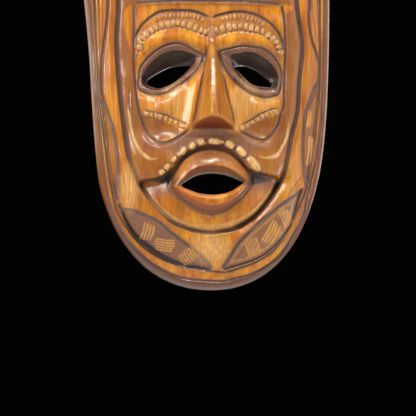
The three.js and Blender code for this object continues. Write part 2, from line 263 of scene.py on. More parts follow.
CHEEK_POCKET = [(51, 130), (42, 127), (33, 124), (25, 119.5), (22, 116.5), (31, 112.5), (39, 111),
                (45, 115.5), (50, 122)]
CHEEK_ARC = {
    -1: [(-61.7, 139), (-60.2, 127), (-58, 114.7), (-54.3, 105.4), (-50.6, 100), (-44.4, 96), (-38, 98)],
    1: [(58.6, 128), (57.3, 114.7), (53, 105.4), (49.4, 100), (44.2, 97.6), (38.3, 97.6), (33.4, 99.6)],
}
LOWER_CHEEK = {
    -1: [(-66, 138), (-61, 102), (-52, 80), (-38, 84), (-24, 97), (-14, 110), (-38, 107), (-56, 128)],
    1: [(63, 132), (60, 112), (50, 84), (38, 86), (26, 97), (16, 110), (38, 108), (55, 128)],
}
NOSE_SIDE = {
    -1: [(-2.6, 181), (-3.3, 177), (-6.5, 157), (-8.9, 145), (-11.5, 131), (-14.3, 120.5)],
    1: [(3.6, 181), (4.8, 176), (9, 157), (12.2, 142), (15.5, 129.7), (17, 120.5)],
}
# Where the cheeks stand over the ground round the mouth.
MUZZLE_EDGE = [(-53, 81.4), (-44, 82.4), (-38, 84), (-31, 88.3), (-25, 95.2), (-19, 101), (-11, 105.6),
               (-2, 107.2), (8, 106.4), (16, 102.4), (22, 96.6), (28, 90), (34, 87.8), (41, 86.4), (50, 84)]
LIP_RING = [(-30.8, 76.6), (-28.5, 83.2), (-24.8, 90.4), (-20, 97), (-10.5, 102.4), (1, 104), (12, 101.6),
            (20, 96), (26.2, 88.8), (29.4, 82), (29.4, 77.8), (25.8, 72.6), (19.4, 66), (9.5, 59.2),
            (-0.3, 56.6), (-10, 58.6), (-18.4, 63.6), (-25.6, 69), (-29.6, 72.8)]
LIP_CREST = [(-21.8, 80.5), (-17.5, 86), (-12, 89.6), (-5, 91.4), (3, 91.6), (11, 89.8), (19, 85.6),
             (25.4, 80.4)]
LOWER_LIP = [(-23.6, 73), (-15, 67.6), (-6.5, 63.6), (2, 62.4), (10.7, 64.6), (18, 69.4), (24, 74.8)]
MOUTH_HOLE = [(-22.4, 76.6), (-17.5, 80.8), (-10, 84.8), (0.3, 86.3), (9.5, 85.6), (18, 82.8), (24.8, 79.6),
              (21.7, 77.2), (14.4, 72.4), (7, 70.2), (0.3, 69.6), (-8.9, 70.6), (-16.9, 73.4)]
INNER_RIDGE = [(-52.5, 86), (-49, 77), (-43.8, 68), (-36.9, 59.3), (-27, 52), (-16.7, 47.6), (-4.5, 46),
               (7.8, 46.7), (19.9, 50.4), (31, 57.5), (40, 66.5), (47.5, 77), (52, 88)]
# The row of beads over the mouth.
MOUSTACHE = [
    # x, h, half length, half width, turn
    (-36.6, 86.2, 2.6, 2.0, 40), (-32.8, 90.2, 2.7, 1.9, 55), (-27.9, 95.9, 3.1, 1.9, 60),
    (-23.9, 99.8, 2.1, 2.0, 60), (-21, 102.2, 3.6, 2.4, 65), (-14.2, 105.8, 3.3, 2.6, 60),
    (-7.6, 109, 3.3, 3.1, 20), (2.6, 109.4, 4.9, 2.8, -3), (8, 109, 1.5, 1.4, 0),
    (13.6, 107, 4.2, 3.0, -38), (22.1, 101.9, 4.9, 3.0, -48), (31.5, 92.9, 7.0, 3.5, -52),
]
LEAF_UPPER = {
    -1: [(-67.5, 64), (-65.7, 60), (-56, 58), (-46.4, 54), (-37.8, 49.6), (-28, 41.3), (-19, 34.5),
         (-10, 27.7), (-3.8, 22), (1.7, 15.4)],
    1: [(70, 76), (65.7, 71.7), (59, 67.5), (51.5, 62.5), (44.2, 56.3), (35.5, 49), (27, 41.3), (20.6, 34.5),
        (15.7, 26.6), (11.4, 19.7), (9, 14.7)],
}
LEAF_LOWER = {
    -1: [(-65.7, 60), (-63.6, 53.8), (-59.8, 47), (-55, 40), (-47.5, 33.4), (-38.8, 27), (-30, 22.3),
         (-20.4, 18.5), (-9.8, 16.7), (1.9, 14.8)],
    1: [(68.5, 74), (66, 67.7), (64, 59), (61.6, 51.3), (58, 44), (51.7, 36), (44.3, 29), (35.6, 23.5),
        (25.8, 19.8), (17.2, 17.3), (9.7, 14.8)],
}
# The long leaves between the band and the collar.
LONG_LEAF = {
    -1: [(-80.8, 141), (-79, 129.6), (-76.8, 103.6), (-74.6, 88.6), (-70.8, 73.7), (-68.6, 66), (-67.6, 81),
         (-68.3, 95.8), (-70.2, 110.7), (-74.7, 128.5)],
    1: [(82.6, 154), (79.7, 122), (78.4, 110), (75.2, 91), (72.4, 78), (70.6, 86), (69.6, 100.4),
        (69.7, 112.7), (70.4, 124.5), (72, 133), (75, 140.5), (79, 149)],
}
LEFT_WAVE = [(-77.5, 246), (-76.2, 214), (-77.4, 196), (-79.4, 180), (-80.6, 166), (-80.9, 152), (-79.6, 143),
             (-75.4, 129.5), (-71, 114), (-68.9, 98), (-68.3, 84), (-69, 68)]
RIGHT_WAVE = [(73.2, 246), (74.6, 215), (73.9, 202.6), (76.3, 187.4), (80.4, 176), (82.4, 167), (81.6, 157.7),
              (78.1, 149.8), (74.4, 140.5), (71.3, 133), (70, 124.5), (69.4, 112), (69.5, 100.4), (70.8, 88),
              (72.5, 80)]

# ---------------------------------------------------------------- the carving

ALL = slice(None)
BEAD_SQUARENESS = 2.7  # 2 is an ellipse
KNIFE_MARKS = 0.10
TONES = {
    # tone: its colour (sRGB), laid over the ones before it
    "brown": (126, 70, 46),
    # Red of the lips; under the nose and low on the wall it is painted shade.
    "red": (152, 60, 14),
    # Grey stain in the cuts and hollows, its grey partly a painted sheen of the varnish; over the chin's
    # leaves it is painted sheen.
    "stain_and_sheen": (108, 90, 84),
    # Painted shade: darkness laid into the colour in the eye sockets, on the walls of the openings, under the
    # nose, round the mouth, in the left chin leaf and low on the wall.
    "dark": (20, 16, 18),
    # Bare and scraped wood and pale beads; the soft patches under the eyes are painted highlights.
    "pale": (236, 184, 112),
}


class Carving:
    """The front of the mask worked out at any set of places: its depth, and its tones from 0 to 1."""

    def __init__(self, x, h):
        self.x, self.h = x, h
        distance, _, _ = follow(x, h, np.vstack([OUTLINE, OUTLINE[:1]])[::2])
        self.inset = distance
        bevel = np.clip(distance / BEVEL_WIDTH, 0, 1)
        swell = np.clip((distance - BEVEL_WIDTH) / DOME_REACH, 0, 1)
        self.base = EDGE_DEPTH + BEVEL_RISE * np.sqrt(1 - (1 - bevel) ** 2)
        self.base += DOME_RISE * (1 - (1 - swell) ** 2)
        self.cut = np.zeros(x.shape)
        self.raised = np.zeros(x.shape)
        self.tones = {tone: np.zeros(x.shape) for tone in TONES}

    def depth(self):
        return self.base + self.raised - self.cut

    def sink(self, where, depth):
        self.cut[where] = np.maximum(self.cut[where], depth)

    def lift(self, where, height):
        self.raised[where] = np.maximum(self.raised[where], height)

    def paint(self, tone, where, amount):
        self.tones[tone][where] = np.maximum(self.tones[tone][where], amount)

    def clear(self, tone, where, amount):
        self.tones[tone][where] *= 1 - amount

    def pale_patch(self, x, h, reach_x, reach_h, amount):
        """A soft pale patch laid into the colour; under the eyes it is a painted highlight."""
        self.paint("pale", ALL, amount * np.sqrt(hill(self.x, self.h, x, h, reach_x, reach_h)))

    def box(self, low, high):
        """Indices of the places in a rectangle."""
        return np.flatnonzero((self.x > low[0]) & (self.x < high[0]) & (self.h > low[1]) & (self.h < high[1]))

    def near(self, line, reach):
        where = self.box(line.min(0) - reach, line.max(0) + reach)
        distance, along, side = follow(self.x[where], self.h[where], line)
        keep = distance < reach
        return where[keep], distance[keep], along[keep], side[keep]

    def area(self, points, reach=0.0):
        """Places round a closed outline, and how far inside it each is (negative outside)."""
        line = spline(points, closed=True)
        where = self.box(line.min(0) - reach, line.max(0) + reach)
        distance, _, _ = follow(self.x[where], self.h[where], line)
        inside = is_inside(self.x[where], self.h[where], line[:-1])
        return where, np.where(inside, distance, -distance)

    def fill(self, tone, points, amount, soft=0.8):
        """Paint inside a closed outline, with a soft edge."""
        where, inside = self.area(points)
        self.paint(tone, where, amount * smooth(0.5 + inside / soft))
        return where, inside

    def tool_path(self, points, reach, closed, fade, blunt):
        """Places near a line, their distance from it, and the share of the depth left towards its ends."""
        where, distance, along, _ = self.near(spline(points, closed), reach)
        whole = along.max() if along.size else 1.0
        ends = 1.0 if closed else smooth(blunt + np.minimum(along, whole - along) / fade)
        return where, distance, ends

    def groove(self, points, width=2.0, depth=1.2, stain_and_sheen=1.0, closed=False, fade=6.0):
        """A cut of the V tool, darkened, which runs out over fade millimetres at both ends."""
        width = 1.25 * width
        where, distance, ends = self.tool_path(points, 2.2 * width, closed, fade, blunt=0.3)
        across = np.clip(1 - distance / (0.5 * width), 0, 1)
        self.sink(where, depth * ends * smooth(1.2 * across))
        self.paint("stain_and_sheen", where, stain_and_sheen * ends * smooth(1.6 * across))
        self.paint("brown", where, 0.5 * stain_and_sheen * ends * smooth(1 - distance / (2.2 * width)))

    def ridge(self, points, width=2.0, height=0.8, tone="pale", amount=1.0, closed=False, fade=8.0):
        """A raised line, the opposite of a groove."""
        where, distance, ends = self.tool_path(points, width, closed, fade, blunt=0.0)
        across = np.clip(1 - (distance / (0.5 * width * (0.35 + 0.65 * ends))) ** 2, 0, 1)
        self.lift(where, height * ends * across)
        self.paint(tone, where, amount * np.sqrt(ends) * smooth(1.6 * across))

    def bead(self, x, h, half_length, half_width, turn, height, pale=1.0, shadow=0.8):
        """A rounded bead with a dark line round it; turn is the angle of its length in degrees."""
        reach = 1.4 * max(half_length, half_width)
        where = self.box((x - reach, h - reach), (x + reach, h + reach))
        cos, sin = math.cos(math.radians(turn)), math.sin(math.radians(turn))
        u = ((self.x[where] - x) * cos + (self.h[where] - h) * sin) / half_length
        v = ((self.h[where] - h) * cos - (self.x[where] - x) * sin) / half_width
        r = (np.abs(u) ** BEAD_SQUARENESS + np.abs(v) ** BEAD_SQUARENESS) ** (1 / BEAD_SQUARENESS)
        facet = 1 + 0.16 * np.sin(2.1 * self.x[where] + 3 * x) * np.sin(1.7 * self.h[where] + 2 * h)
        self.lift(where, height * facet * np.sqrt(np.clip(1 - r**3, 0, 1)))
        self.clear("stain_and_sheen", where, smooth(6 * (1 - r)))
        self.paint("pale", where, pale * smooth(3.5 * (1.02 - r)))
        self.paint("stain_and_sheen", where, shadow * smooth(1 - np.abs(r - 1.16) / 0.22))

    def bead_row(self, points, pitch, half_length, half_width, height, pale=1.0, shadow=0.8):
        """Beads across a line, about pitch apart, uneven as hand work is."""
        jitter = 0.12
        line = spline(points, step=0.5)
        run = np.diff(line, axis=0)
        along = np.concatenate([[0.0], np.cumsum(np.hypot(run[:, 0], run[:, 1]))])
        count = max(1, round(along[-1] / pitch))
        for i in range(count):
            wobble = jitter * math.sin(7.3 * i + 1.1)
            k = min(len(run) - 1, int(np.searchsorted(along, (i + 0.5 + wobble) / count * along[-1])))
            turn = math.degrees(math.atan2(run[k, 1], run[k, 0])) + 90
            size = 1 + 1.2 * jitter * math.sin(4.7 * i + 0.4)
            self.bead(*line[k], half_length * size, half_width * size, turn, height, pale, shadow)

    def strokes(self, centre, length, span, turn, count, depth=0.6, pale=0.35):
        """A patch of parallel cuts through the varnish; turn is the angle of each cut in degrees."""
        cos, sin = math.cos(math.radians(turn)), math.sin(math.radians(turn))
        for i in range(count):
            offset = span * ((i + 0.5) / count - 0.5)
            reach = 0.5 * length * (1 - 0.12 * math.cos(5.1 * i))
            middle = (centre[0] - sin * offset, centre[1] + cos * offset)
            ends = [(middle[0] - cos * reach, middle[1] - sin * reach),
                    (middle[0] + sin * 0.4, middle[1] - cos * 0.4),
                    (middle[0] + cos * reach, middle[1] + sin * reach)]
            half = min(1.15, 0.46 * span / count)
            where, distance, _, _ = self.near(spline(ends), 1.4)
            across = np.clip(1 - distance / half, 0, 1)
            self.sink(where, depth * across)
            self.clear("stain_and_sheen", where, 0.8 * across)
            self.clear("brown", where, smooth(1.8 * across))
            self.paint("pale", where, pale * smooth(1.3 * across))


def eye_axis(side, x):
    """Height of the slanting middle line of an eye."""
    return 165.5 - (side * x - 16) * 0.37


def shape_sockets(c):
    """The eye sockets sink from the rim to the opening, deepest under the upper lid."""
    for side in (-1, 1):
        where, rim = c.area(EYE_RIM[side], reach=9.0)
        x, h = c.x[where], c.h[where]
        c.base[where] -= 1.7 * smooth(1 + rim / 6.5) * smooth(1 - rim / 3)
        hole = gap_to(x, h, EYE_HOLE[side])
        inner = np.clip(rim, 0, None)
        share = inner / np.maximum(inner + hole, 1e-6)
        upper = smooth((h - eye_axis(side, x) + 5) / 12)
        c.base[where] -= (4.5 + 8.5 * upper) * share**1.2
        # Painted shade: the socket's wall is filled dark, and the lower lip of the opening is left lighter.
        c.fill("dark", SOCKET[side], 0.93)
        c.paint("brown", where, 0.95 * smooth(0.5 + rim / 0.8))
        c.paint("stain_and_sheen", where, 0.4 * smooth(0.5 + rim / 0.8))
        lip = np.clip(1 - hole / 1.6, 0, 1) * smooth((eye_axis(side, x) - h) / 3)
        c.clear("dark", where, 0.75 * lip)


def nose_buttress(x, h):
    """The cheek climbs steeply to the nose on both sides, below the eyes."""
    nose_half = np.interp(h, [110, 181], [15, 2])
    beside = np.abs(x) - nose_half
    climb = 4.6 * smooth((11.5 - beside) / 9.5)
    return climb * smooth((h - 112) / 10) * smooth((174 - h) / 16)


def shape_face(c):
    """The large shapes, the step down from the cheeks to the dark brown ground round the mouth, and painted
    shade in the corners beside the lips.
    """
    x, h, across = c.x, c.h, np.abs(c.x)
    relief = 7.5 * hill(x, h, 0, 82, 56, 46)  # muzzle
    relief += 3.2 * hill(across, h, 45, 99, 26, 24)  # jowls
    relief -= 3.4 * hill(across, h, 37, 119, 17, 15)  # cheek pockets
    relief += 2.3 * hill(across, h, 35, 135, 9, 10)  # pads under the eyes
    relief += nose_buttress(x, h)
    brow_h = 185.5 - 0.0065 * (across - 26) ** 2
    relief += 1.9 * np.exp(-(((h - brow_h) / 6.5) ** 2)) * smooth((58 - across) / 8)
    relief -= 1.8 * smooth((57 - across) / 3) * smooth((214 - h) / 3) * smooth((h - 196) / 14)
    c.base += relief * smooth(c.inset / BEVEL_WIDTH - 0.5)
    low_collar = [p for p in COLLAR[1][::-1] + COLLAR[-1] if p[1] < 80]
    where, within = c.area(MUZZLE_EDGE + low_collar, reach=3.0)
    px, ph = c.x[where], c.h[where]
    distance, _, side = follow(px, ph, spline(MUZZLE_EDGE))
    below = np.where(side < 0, distance, -distance)
    inside_ends = smooth((54 - np.abs(px)) / 3) * smooth((within + 1.2) / 2.4)
    corner = smooth((np.abs(px) - 10) / 40)
    fall = smooth((below + 0.5) / 2.2) * np.exp(-np.clip(below - 6, 0, None) / 18)
    c.base[where] -= (4.0 + 2.4 * corner) * fall * inside_ends
    ground = smooth(below / 1.5) * inside_ends
    c.paint("brown", where, 0.75 * ground * smooth((19 - below) / 8))
    # Painted shade: dark triangles beside the lips, under the cheeks' overhang.
    lip_corner_shade = smooth((np.abs(px) - 26) / 5) * smooth((54 - np.abs(px)) / 16)
    floor_h = np.interp(np.abs(px), [30, 41, 51], [77.2, 79.8, 82.4])
    c.paint("dark", where, 0.95 * lip_corner_shade * smooth(below) * smooth((ph - floor_h + 0.8) / 1.8))


def shape_nose(c):
    """A wedge with a rounded ridge, undercut at its foot; share is 0 on the ridge and 1 at its side."""
    where = c.box((-24, 105), (26, 200))
    x, h = c.x[where], c.h[where]
    edges = {side: np.interp(h, *np.array(NOSE_SIDE[side][::-1], float).T[::-1]) for side in (-1, 1)}
    share = np.abs(x / np.where(x < 0, edges[-1], edges[1]))
    ridge_h = [115, 121, 126, 129, 134, 150, 170, 184, 198]
    ridge = np.interp(h, ridge_h, [64, 65, 66, 66.6, 66, 59.5, 50, 41.5, 36])
    bottom = 121 + 5.5 * (1 - np.clip(x / 15, -1, 1) ** 2)
    foot = 118.5
    under = smooth((h - foot) / (bottom + 1.5 - foot))
    crest = np.interp(h, [130, 184], [0.07, 0.36])
    section = np.clip(1 - (np.clip(share - crest, 0, None) / (1 - crest)) ** 1.45, 0, 1)
    ground = c.base[where]
    grown = ground + (ridge - ground) * section * under
    c.base[where] = np.where(share < 1, np.maximum(ground, grown), ground)
    # Painted shade: the undercut under the nose is painted red and dark.
    cavity = smooth((bottom - h) / 1.2) * smooth((h - foot + 1) / 1.5) * smooth((1.02 - share) / 0.06)
    c.paint("red", where, cavity)
    c.paint("dark", where, 0.45 * cavity * smooth((bottom - h) / 5))
    tip = np.exp(-(((h - bottom - 0.8) / 0.8) ** 2)) * smooth((0.9 - share) / 0.2)
    c.paint("pale", where, 0.35 * tip)
    philtrum = hill(x, h, 0, 114, 21, 7)
    c.paint("brown", where, 0.95 * smooth(2.5 * philtrum))
    c.paint("stain_and_sheen", where, 0.35 * smooth(2 * philtrum))
    c.paint("brown", where, 0.5 * smooth((1 - share) / 0.1))
    for side in (-1, 1):
        c.groove(NOSE_SIDE[side], width=1.7, depth=1.0, stain_and_sheen=0.75, fade=10)


def carve_bands(c):
    """The brown wall, its groove, and the orange band inside it."""
    c.paint("brown", ALL, 0.9 * smooth((6.2 - c.inset) / 1.0))
    # Painted shade: the wall is darker and redder towards the bottom.
    low_wall_shade = smooth((5.8 - c.inset) / 1.0) * smooth((70 - c.h) / 50)
    c.paint("red", ALL, 0.35 * low_wall_shade)
    c.paint("dark", ALL, 0.5 * low_wall_shade)
    for lines, inset, width in ((BAND_OUTER, 5.0, 2.2), (BAND_INNER, 8.3, 1.9)):
        loop = lines[-1] + crown_arc(inset) + lines[1][::-1]
        c.groove(loop, width=width, depth=1.3, stain_and_sheen=0.95, closed=True)
    where, inside = c.area(BAND_OUTER[-1] + crown_arc(5.0) + BAND_OUTER[1][::-1], reach=12)
    c.paint("brown", where, 0.92 * smooth(0.5 - inside / 0.8))
    c.clear("brown", where, smooth(0.5 + inside / 0.8))


def carve_strips(c):
    """The long hand-cut strips between the band and the collar."""
    brown_left = [(-84.6, 246), (-84.2, 216), (-82.7, 160), (-82, 144), (-80.9, 152), (-80.8, 166),
                  (-79.6, 180), (-77.6, 196), (-76.5, 214), (-77.8, 246)]
    c.fill("brown", brown_left, 0.6, soft=0.7)
    wedge = [(-84.2, 246), (-83, 216), (-81.4, 172), (-80.3, 216), (-80.6, 246)]
    where, inside = c.area(wedge)
    c.clear("brown", where, smooth(0.5 + inside / 0.7))
    c.lift(where, 0.8 * smooth(0.3 + inside / 1.6))
    brown_right = [(82.4, 168), (81, 216), (80.5, 246), (84, 246), (82.9, 216)]
    c.fill("brown", brown_right, 0.8, soft=0.6)
    c.groove([(81.4, 246), (81.4, 216), (82.3, 190), (82.6, 168)], width=1.4, depth=0.7, stain_and_sheen=0.7)
    c.groove([(75.4, 240), (76.6, 212), (78.6, 196), (80.6, 182)], width=1.0, depth=0.4, stain_and_sheen=0.35)
    c.groove(LEFT_WAVE, width=2.3, depth=1.5, stain_and_sheen=0.95)
    c.groove([(-84.6, 246), (-83.4, 216), (-81.6, 175), (-80.8, 160)], width=1.2, depth=0.6, stain_and_sheen=0.6)
    c.groove(RIGHT_WAVE, width=2.2, depth=1.5, stain_and_sheen=0.95)
    for side in (-1, 1):
        where, inside = c.fill("brown", LONG_LEAF[side], 0.85)
        c.sink(where, 2.0 * smooth(0.2 + inside / 2.4))
        c.groove(LONG_LEAF[side], width=1.6, depth=1.2, stain_and_sheen=0.9, closed=True)
    c.strokes((75.0, 104), 22, 4.4, 84, 2, depth=0.4, pale=0.6)
    c.strokes((74.4, 128), 12, 3.6, 84, 2, depth=0.4, pale=0.45)


def carve_collar(c):
    """The collar's groove, the brown band inside it, and the pale lines cut beside it."""
    loop = COLLAR[-1] + crown_arc(25.5)[1:-1] + COLLAR[1][::-1]
    where, inside = c.area(loop, reach=7)
    c.base[where] -= 1.0 * smooth(0.5 + inside / 3)
    c.paint("brown", where, 0.9 * smooth(inside / 1.5) * smooth((c.h[where] - 92) / 14))
    panel = PANEL[-1][:-2] + [(0, 100)] + PANEL[1][:-2][::-1]
    face, depth_in = c.area(panel)
    c.clear("brown", face, smooth(0.5 + depth_in / 1.5))
    c.groove(loop, width=3.6, depth=2.6, stain_and_sheen=0.95, closed=True)
    banks, distance, _, _ = c.near(spline(loop, closed=True), 6.0)
    c.base[banks] -= 0.7 * smooth(1 - distance / 5.5)
    bank = np.where(inside < 0, np.clip(1 + inside / 6.5, 0, 1), smooth(1 - inside / 4))
    c.base[where] -= 4.2 * bank * smooth((c.x[where] - 14) / 8) * smooth((92 - c.h[where]) / 10)
    for side in (-1, 1):
        c.fill("brown", LOWER_CHEEK[side], 0.62, soft=3)
        c.ridge(CHEEK_ARC[side], width=2.8, height=0.7, amount=0.8, fade=12)
    c.ridge(INNER_RIDGE, width=4.2, height=0.9, amount=0.45, fade=24)
    c.groove([(-60.5, 150), (-60, 134), (-58, 120)], width=1.2, depth=0.4, stain_and_sheen=0.4)


def carve_panel(c):
    for side in (-1, 1):
        c.groove(PANEL[side], width=2.2, depth=1.5, stain_and_sheen=0.95)
    c.groove([(-57, 213), (-30, 214.2), (0, 214.6), (30, 214.2), (53, 213)], 2.4, 1.6, stain_and_sheen=0.95)
    c.groove([(-0.2, 208), (0, 198), (0.3, 187)], width=2.4, depth=0.8, stain_and_sheen=0.12, fade=6)


def carve_brow(c, side):
    """A cut line, small ticks under it, a row of beads, and a dashed line under the beads."""
    c.groove(BROW_LINE[side], width=2.2, depth=1.6, stain_and_sheen=1.0)
    where, inside = c.area(BROW_LINE[side] + BROW_DASHES[side][::-1])
    c.paint("brown", where, 0.4 * smooth(inside / 1.5))
    ticks = [(x, h - 3.6) for x, h in BROW_LINE[side] if 3 < abs(x) < 46]
    c.bead_row(ticks, pitch=3.1, half_length=2.3, half_width=1.15, height=1.0, pale=0.12, shadow=0.95)
    c.bead_row(BROW_BEADS[side], pitch=4.3, half_length=2.7, half_width=1.85, height=1.3, pale=0.5)
    line = spline(BROW_DASHES[side], step=1.0)
    where, distance, along, _ = c.near(line, 2.0)
    dash = 0.6 + 0.4 * np.cos(2 * math.pi * along / 3.7)
    across = np.clip(1 - distance / 1.0, 0, 1)
    c.sink(where, 0.9 * dash * across)
    c.paint("stain_and_sheen", where, 0.95 * dash * smooth(1.7 * across))


def carve_eye(c, side):
    c.groove(EYE_RIM[side], width=1.9, depth=1.3, stain_and_sheen=1.0, closed=True)
    c.ridge(SOCKET[side], width=1.6, height=0.4, tone="brown", amount=0.9, closed=True)


def carve_cheek(c, side):
    c.fill("brown", [(side * x, h) for x, h in CHEEK_POCKET], 0.85, soft=1.2)
    beads = CHEEK_BEADS[side]
    c.groove([(x, h + 2.2) for x, h in beads], width=1.5, depth=0.9, stain_and_sheen=0.9)
    c.bead_row(beads, pitch=3.9, half_length=1.7, half_width=1.75, height=1.1, pale=0.6, shadow=0.6)
    # Painted highlights: soft pale patches below each eye, where the lights' reflections fall.
    for x, h, reach_x, reach_h, amount in ((26, 140, 13, 19, 0.55), (44, 138, 9, 10, 0.35)):
        c.pale_patch(side * x, h, reach_x, reach_h, amount)


def carve_mouth(c):
    """The moustache of beads and the lips; share is 0 at the opening and 1 at the ring round the lips."""
    muzzle = hill(c.x, c.h, 0, 106, 48, 17)
    c.paint("brown", ALL, 0.95 * smooth(2.2 * muzzle))
    c.paint("stain_and_sheen", ALL, 0.3 * smooth(2.2 * muzzle))
    row = np.array([bead[:2] for bead in MOUSTACHE], float)
    where, distance, _, _ = c.near(row, 9.0)
    shade = smooth(1 - distance / 9.0) * smooth((34 - np.abs(c.x[where])) / 14)
    c.paint("brown", where, smooth(1.6 * shade))
    c.paint("stain_and_sheen", where, 0.35 * shade)
    for x, h, half_length, half_width, turn in MOUSTACHE:
        c.bead(x, h, half_length, half_width, turn, height=2.4, pale=0.95, shadow=0.7)
    c.groove(LIP_RING, width=3.4, depth=0.9, stain_and_sheen=0.75, closed=True)
    ring, ring_in = c.area(LIP_RING)
    x, h = c.x[ring], c.h[ring]
    hole = gap_to(x, h, MOUTH_HOLE)
    share = hole / np.maximum(hole + np.clip(ring_in, 0, None), 1e-6)
    corners_h = 77.0
    upper = smooth((h - corners_h + 2) / 4)
    fullest = 0.5 - 0.17 * upper
    span = np.where(share < fullest, fullest, 1 - fullest)
    full = np.sqrt(np.clip(1 - ((share - fullest) / span) ** 2, 0, 1))
    within = smooth(ring_in)
    c.base[ring] += within * (5.6 * full + 1.2 * (1 - share))
    c.clear("brown", ring, smooth(0.5 + ring_in / 0.8))
    c.clear("dark", ring, smooth(0.5 + ring_in / 0.8))
    crest, _, crest_side = follow(x, h, spline(LIP_CREST))
    inner = smooth(0.5 + crest * np.where(crest_side < 0, 1, -1) / 1.2) * upper
    # Painted shade: the upper lip's inner face, turned down to the opening, is painted brown, red and dark.
    c.paint("brown", ring, 0.8 * inner * smooth(hole) * within)
    c.paint("red", ring, 0.4 * inner * within)
    c.paint("dark", ring, 0.55 * inner * within)
    # Painted shade in the corners of the mouth.
    c.paint("dark", ring, 0.55 * smooth((np.abs(x) - 20) / 4) * smooth(1 - np.abs(h - 79) / 6) * within)
    c.paint("brown", ring, 0.5 * within * upper)
    c.paint("pale", ring, 0.25 * smooth(1.3 - hole / 0.9) * upper * within)
    lower, _, lower_side = follow(x, h, spline(LOWER_LIP))
    front = smooth(0.2 + lower * np.where(lower_side < 0, 1, -1) / 2.0) * (1 - upper)
    c.paint("red", ring, (0.3 * (1 - upper) + 0.65 * front) * within)


def carve_leaf(c, side):
    """A sunk leaf beside the chin; slope is 0 at its upper line and 1 at its lower one."""
    left = side < 0
    outline = LEAF_UPPER[side] + LEAF_LOWER[side][1:-1][::-1]
    where, inside = c.fill("brown", outline, 0.9 if left else 0.75)
    upper, _, _ = follow(c.x[where], c.h[where], spline(LEAF_UPPER[side]))
    lower, _, _ = follow(c.x[where], c.h[where], spline(LEAF_LOWER[side]))
    slope = upper / np.maximum(upper + lower, 1e-6)
    sunk = (1.4 + 2.6 * slope) if left else (1.6 + 0.6 * slope)
    c.sink(where, sunk * smooth(0.2 + inside / 1.4))
    c.groove(LEAF_UPPER[side], width=2.6, depth=2.0, stain_and_sheen=1.0, fade=3)
    c.groove(LEAF_LOWER[side], width=2.6, depth=2.6, stain_and_sheen=1.0, fade=3)
    # Painted sheen: a grey tint over the leaf's sunk ground.
    c.paint("stain_and_sheen", where, 0.4 * smooth(inside / 3))
    if left:
        # Painted shadow along the left leaf's deep lower edge.
        c.paint("dark", where, 0.9 * smooth((slope - 0.84) / 0.1))
    else:
        frame_band = smooth(1 - np.abs(inside - 3.2) / 1.5)
        c.clear("brown", where, 0.5 * frame_band)
        c.paint("pale", where, 0.3 * frame_band)


def carve_chin(c):
    c.pale_patch(0, 31, 17, 16, 0.7)
    c.pale_patch(-60, 76, 9, 22, 0.7)
    c.pale_patch(60, 84, 7, 22, 0.15)
    for side in (-1, 1):
        carve_leaf(c, side)
    for centre, length, span, turn, count in (
        ((-46.5, 43), 11, 9.5, 74, 4), ((-34, 33.2), 13, 9.5, -8, 5), ((-15.5, 25.6), 8.5, 15, -56, 7),
        ((57, 53.5), 11, 8.5, 118, 4), ((46, 42.5), 15, 9.5, 60, 4), ((31.5, 32), 11, 11, 112, 5),
    ):
        c.strokes(centre, length, span, turn, count)
    for i in range(5):
        x, h = -60 + 2.4 * i, 67 - 1.2 * i
        c.groove([(x, h), (x - 2.6, h + 10), (x - 5, h + 20)], width=0.9, depth=0.5, stain_and_sheen=0.4)
        x, h = 56 + 2.6 * i, 68 + 3.5 * i
        c.groove([(x, h), (x + 3.6, h + 6), (x + 7, h + 12.5)], width=0.8, depth=0.3, stain_and_sheen=0.2)


def carve_crown(c):
    """Above the forehead: the strips close over the crown, and the chin's leaves are repeated there."""
    for inset, width, stain_and_sheen in ((12.5, 1.6, 0.8), (19.5, 2.0, 0.95)):
        c.groove(crown_arc(inset), width=width, depth=1.1, stain_and_sheen=stain_and_sheen, fade=14)
    apex, foot = 312.0, 244.0
    for side in (-1, 1):
        upper = [(side * 3, apex), (side * 22, 303), (side * 40, 286), (side * 53, 264), (side * 57, foot)]
        lower = [(side * 3, apex), (side * 14, 292), (side * 27, 272), (side * 42, 255), (side * 57, foot)]
        where, inside = c.fill("brown", upper + lower[1:-1][::-1], 0.85)
        c.sink(where, 1.8 * smooth(0.2 + inside / 1.6))
        c.groove(upper, width=2.4, depth=2.0, fade=3)
        c.groove(lower, width=2.4, depth=2.0, fade=3)
        for centre, turn in (((17, 297), 30), ((31, 281), -50), ((44, 263), 20)):
            c.strokes((side * centre[0], centre[1]), 9, 10, side * turn, 5)
    brow_arch = [(-52, 232), (-34, 246), (-16, 254), (0, 256.5), (16, 254), (34, 246), (49, 232)]
    c.groove(brow_arch, width=1.8, depth=1.2)
    c.bead_row([(x * 0.96, h - 5.2) for x, h in brow_arch], 4.2, 2.5, 1.7, height=1.0, pale=0.7)
    c.groove([(x * 0.92, h - 10) for x, h in brow_arch], width=1.5, depth=0.9, stain_and_sheen=0.8)


def carve(x, h):
    """The whole front, the large shapes before the cuts in them."""
    c = Carving(x, h)
    carve_bands(c)
    carve_collar(c)
    shape_face(c)
    shape_sockets(c)
    carve_strips(c)
    carve_crown(c)
    carve_panel(c)
    shape_nose(c)
    for side in (-1, 1):
        carve_brow(c, side)
        carve_eye(c, side)
        carve_cheek(c, side)
    carve_mouth(c)
    carve_chin(c)
    facets = np.sin(0.41 * x + 0.13 * h) * np.sin(0.09 * x - 0.23 * h) + np.sin(0.17 * x + 0.31 * h + 1.3)
    c.base += KNIFE_MARKS * facets * smooth(c.inset / 3)
    return c


# ---------------------------------------------------------------- meshes


def place(x, h, depth):
    return np.stack([x * MM, -depth * MM, CHIN_Z + h * MM], -1)


